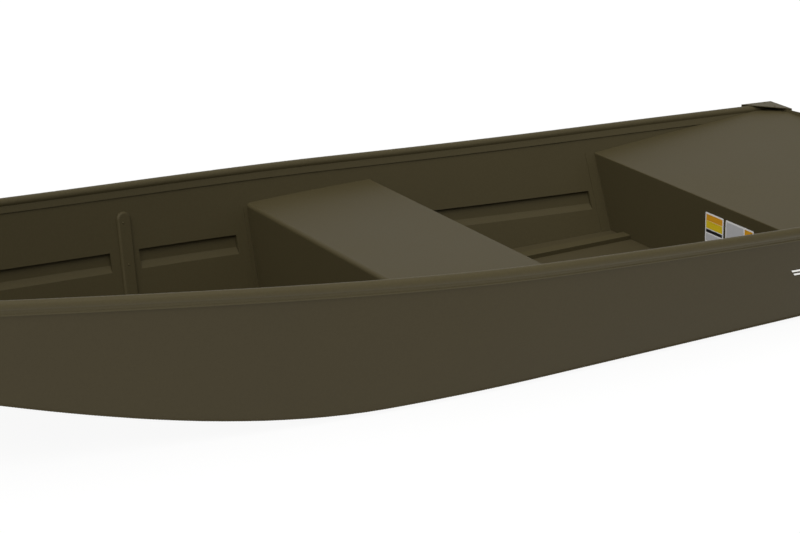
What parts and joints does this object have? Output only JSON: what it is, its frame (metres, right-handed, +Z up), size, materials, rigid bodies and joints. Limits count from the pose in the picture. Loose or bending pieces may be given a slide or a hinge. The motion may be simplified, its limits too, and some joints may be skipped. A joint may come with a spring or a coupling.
{
  "type": "flat-bottomed aluminium jon boat",
  "caption": "Open flat-bottomed jon boat: flared sheet-metal hull, square bow, raked motor transom, bow and stern decks and one centre bench.",
  "frame": {"origin": "middle of the length and beam, on the ground under the bottom runners", "axes": "+X towards the bow, +Y to port, +Z up"},
  "size_m": [3.6874, 1.2714, 0.5554],
  "materials": {
    "hull_paint": "satin olive drab paint on aluminium sheet",
    "inner_paint": "satin olive drab paint, slightly lighter",
    "edge_paint": "satin olive drab paint on aluminium extrusion",
    "fitting_aluminium": "tumbled cast aluminium",
    "drain_brass": "dull brass",
    "label": "blank vinyl label"
  },
  "bodies": {
    "root": {"bench_aft_strips": "inner_paint", "bench_front_strips": "inner_paint", "bottom_runners": "hull_paint", "bow_bulkhead_strips": "inner_paint", "bow_cap": "edge_paint", "bow_deck": "inner_paint", "bow_eye": "fitting_aluminium", "bow_handle": "fitting_aluminium", "bow_panel": "hull_paint", "center_bench": "inner_paint", "drain_tube": "drain_brass", "floor_stringers": "inner_paint", "hull_bottom": "hull_paint", "label_plates": "label", "motor_board": "inner_paint", "motor_board_cap": "edge_paint", "motor_pad": "hull_paint", "port_bow_corner_cap": "edge_paint", "port_gunwale": "edge_paint", "port_side": "hull_paint", "port_side_panel": "inner_paint", "port_side_rib": "inner_paint", "port_stern_corner_cap": "edge_paint", "port_stern_handle": "fitting_aluminium", "starboard_bow_corner_cap": "edge_paint", "starboard_gunwale": "edge_paint", "starboard_side": "hull_paint", "starboard_side_panel": "inner_paint", "starboard_side_rib": "inner_paint", "starboard_stern_corner_cap": "edge_paint", "starboard_stern_handle": "fitting_aluminium", "stern_bulkhead_strips": "inner_paint", "stern_deck": "inner_paint", "transom": "hull_paint", "transom_cap": "edge_paint"}
  },
  "joints": []
}
